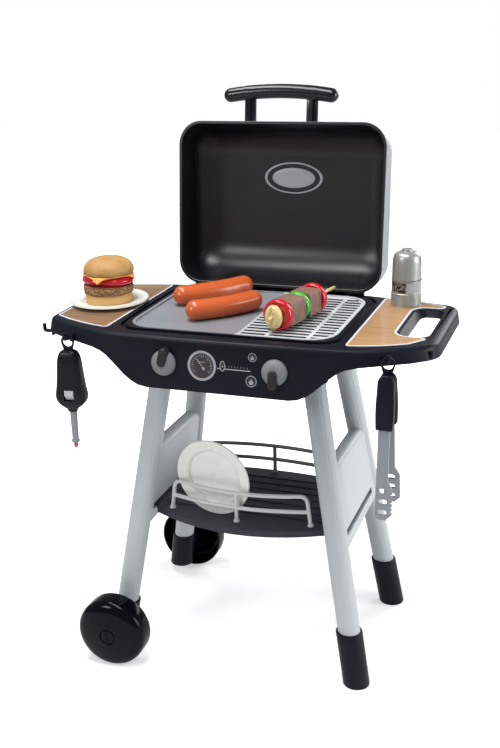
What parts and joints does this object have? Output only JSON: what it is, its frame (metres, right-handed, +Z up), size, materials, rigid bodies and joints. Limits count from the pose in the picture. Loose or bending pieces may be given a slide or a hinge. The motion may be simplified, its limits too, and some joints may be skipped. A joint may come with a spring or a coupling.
{
  "type": "toy barbecue grill",
  "caption": "Free-standing toy barbecue grill on leaning legs with wheels, an open hinged lid, a cooking plate, side wings, a shelf with rails, and play food and tools.",
  "frame": {"origin": "middle of the bounding box's footprint, on the floor", "axes": "+Z up, -Y towards the child who cooks, +X to the wing with the carrying hole; the lid is stored open"},
  "size_m": [0.5308, 0.367, 0.7449],
  "materials": {
    "black": "satin black moulding",
    "gloss_black": "polished black moulding",
    "light_grey": "silver-grey moulding",
    "plate_grey": "silver-grey moulding with a low sheen",
    "shell_grey": "pale silver-grey moulding",
    "wood_print": "printed wood grain under a clear film",
    "steel": "drawn wire",
    "knob_grey": "grey with dark specks",
    "white": "glossy white moulding",
    "mill_silver": "metallic silver paint",
    "red": "glossy red moulding",
    "green": "glossy green moulding",
    "bun": "matt tan moulding with a browned top",
    "meat": "matt brown moulding",
    "cheese": "yellow moulding",
    "sausage": "glossy orange-brown moulding",
    "onion": "cream moulding",
    "stick": "pale tan moulding"
  },
  "bodies": {
    "stand": {"deck": "black", "left_wood_panel": "wood_print", "right_wood_panel": "wood_print", "hinge_pin_left": "steel", "hinge_pin_right": "steel", "left_side_frame": "light_grey", "right_side_frame": "light_grey", "front_right_foot": "black", "back_right_foot": "black", "front_left_foot": "black", "back_left_foot": "black", "front_axle_pin": "gloss_black", "back_axle_pin": "gloss_black", "shelf": "black", "front_rail": "light_grey", "back_rail": "light_grey", "hook_left_end": "black", "hook_left_front": "black", "hook_right_front": "black", "hook_right_corner": "black"},
    "cooking_plate": {"cooking_plate": "plate_grey"},
    "lid": {"lid_shell": "shell_grey", "lid_liner": "black", "lid_handle_grip": "gloss_black", "lid_handle_post_left": "gloss_black", "lid_handle_post_right": "gloss_black", "lid_badge": "plate_grey"},
    "left_knob": {"left_knob_skirt": "knob_grey", "left_knob_grip": "black"},
    "right_knob": {"right_knob_skirt": "knob_grey", "right_knob_grip": "black"},
    "front_wheel": {"front_wheel": "gloss_black"},
    "back_wheel": {"back_wheel": "gloss_black"},
    "lighter": {"lighter_body": "black", "lighter_barrel": "plate_grey", "lighter_tip": "red"},
    "lighter_trigger": {"lighter_trigger": "light_grey"},
    "tongs_front": {"tongs_front_arm": "shell_grey", "tongs_front_grip": "black"},
    "tongs_back": {"tongs_back_arm": "shell_grey", "tongs_back_grip": "black"},
    "mill": {"mill_body": "mill_silver"},
    "mill_cap": {"mill_cap": "mill_silver"},
    "burger_plate": {"burger_plate": "white"},
    "bottom_bun": {"bottom_bun": "bun"},
    "patty": {"patty": "meat"},
    "tomato": {"tomato": "red"},
    "cheese": {"cheese": "cheese"},
    "top_bun": {"top_bun": "bun"},
    "shelf_plate": {"shelf_plate": "white"},
    "sausage_back": {"sausage_back": "sausage"},
    "sausage_front": {"sausage_front": "sausage"},
    "skewer": {"skewer_stick": "stick", "onion": "onion", "pepper_front": "red", "meat_front": "meat", "green_pepper": "green", "meat_back": "meat", "pepper_back": "red"}
  },
  "joints": [
    {"name": "cooking_plate_lift", "type": "slide", "parent": "stand", "child": "cooking_plate", "axis": [0, 0, 1], "range_m": [0, 0.05]},
    {"name": "lid_hinge", "type": "hinge", "parent": "stand", "child": "lid", "pos_m": [-0.00304, 0.10085, 0.4717], "axis": [-1, 0, 0], "range_deg": [-96.2, 0]},
    {"name": "left_knob_turn", "type": "hinge", "parent": "stand", "child": "left_knob", "pos_m": [-0.07104, -0.14756, 0.436], "axis": [0, -0.9928, 0.1201], "continuous": true},
    {"name": "right_knob_turn", "type": "hinge", "parent": "stand", "child": "right_knob", "pos_m": [0.07196, -0.14756, 0.436], "axis": [0, -0.9928, 0.1201], "continuous": true},
    {"name": "front_wheel_spin", "type": "hinge", "parent": "stand", "child": "front_wheel", "pos_m": [-0.16054, -0.14755, 0.0483], "axis": [0, 1, 0], "continuous": true},
    {"name": "back_wheel_spin", "type": "hinge", "parent": "stand", "child": "back_wheel", "pos_m": [-0.16054, 0.11895, 0.0483], "axis": [0, 1, 0], "continuous": true},
    {"name": "lighter_swing", "type": "hinge", "parent": "stand", "child": "lighter", "pos_m": [-0.2085, -0.13801, 0.4527], "axis": [-0.0872, 0.9962, 0], "range_deg": [-12, 12]},
    {"name": "lighter_trigger_press", "type": "slide", "parent": "lighter", "child": "lighter_trigger", "axis": [-0.0872, 0.9962, 0], "range_m": [0, 0.004], "stiffness_N_per_m": 60},
    {"name": "tongs_swing", "type": "hinge", "parent": "stand", "child": "tongs_front", "pos_m": [0.20493, -0.13659, 0.4577], "axis": [0, 1, 0], "range_deg": [-10, 10]},
    {"name": "tongs_squeeze", "type": "hinge", "parent": "tongs_front", "child": "tongs_back", "pos_m": [0.20493, -0.13659, 0.442], "axis": [-1, 0, 0], "range_deg": [0, 11], "stiffness_Nm_per_rad": 0.15},
    {"name": "mill_lift", "type": "slide", "parent": "stand", "child": "mill", "axis": [0, 0, 1], "range_m": [0, 0.04]},
    {"name": "mill_cap_twist", "type": "hinge", "parent": "mill", "child": "mill_cap", "pos_m": [0.18346, 0.07245, 0.4694], "axis": [0, 0, 1], "continuous": true},
    {"name": "burger_plate_lift", "type": "slide", "parent": "stand", "child": "burger_plate", "axis": [0, 0, 1], "range_m": [0, 0.02]},
    {"name": "bottom_bun_lift", "type": "slide", "parent": "burger_plate", "child": "bottom_bun", "axis": [0, 0, 1], "range_m": [0, 0.02]},
    {"name": "patty_lift", "type": "slide", "parent": "bottom_bun", "child": "patty", "axis": [0, 0, 1], "range_m": [0, 0.02]},
    {"name": "tomato_lift", "type": "slide", "parent": "patty", "child": "tomato", "axis": [0, 0, 1], "range_m": [0, 0.02]},
    {"name": "cheese_lift", "type": "slide", "parent": "tomato", "child": "cheese", "axis": [0, 0, 1], "range_m": [0, 0.02]},
    {"name": "top_bun_lift", "type": "slide", "parent": "cheese", "child": "top_bun", "axis": [0, 0, 1], "range_m": [0, 0.02]},
    {"name": "shelf_plate_lift", "type": "slide", "parent": "stand", "child": "shelf_plate", "axis": [0, 0, 1], "range_m": [0, 0.05]},
    {"name": "sausage_back_lift", "type": "slide", "parent": "cooking_plate", "child": "sausage_back", "axis": [0, 0, 1], "range_m": [0, 0.04]},
    {"name": "sausage_front_lift", "type": "slide", "parent": "cooking_plate", "child": "sausage_front", "axis": [0, 0, 1], "range_m": [0, 0.04]},
    {"name": "skewer_lift", "type": "slide", "parent": "cooking_plate", "child": "skewer", "axis": [0, 0, 1], "range_m": [0, 0.04]}
  ]
}
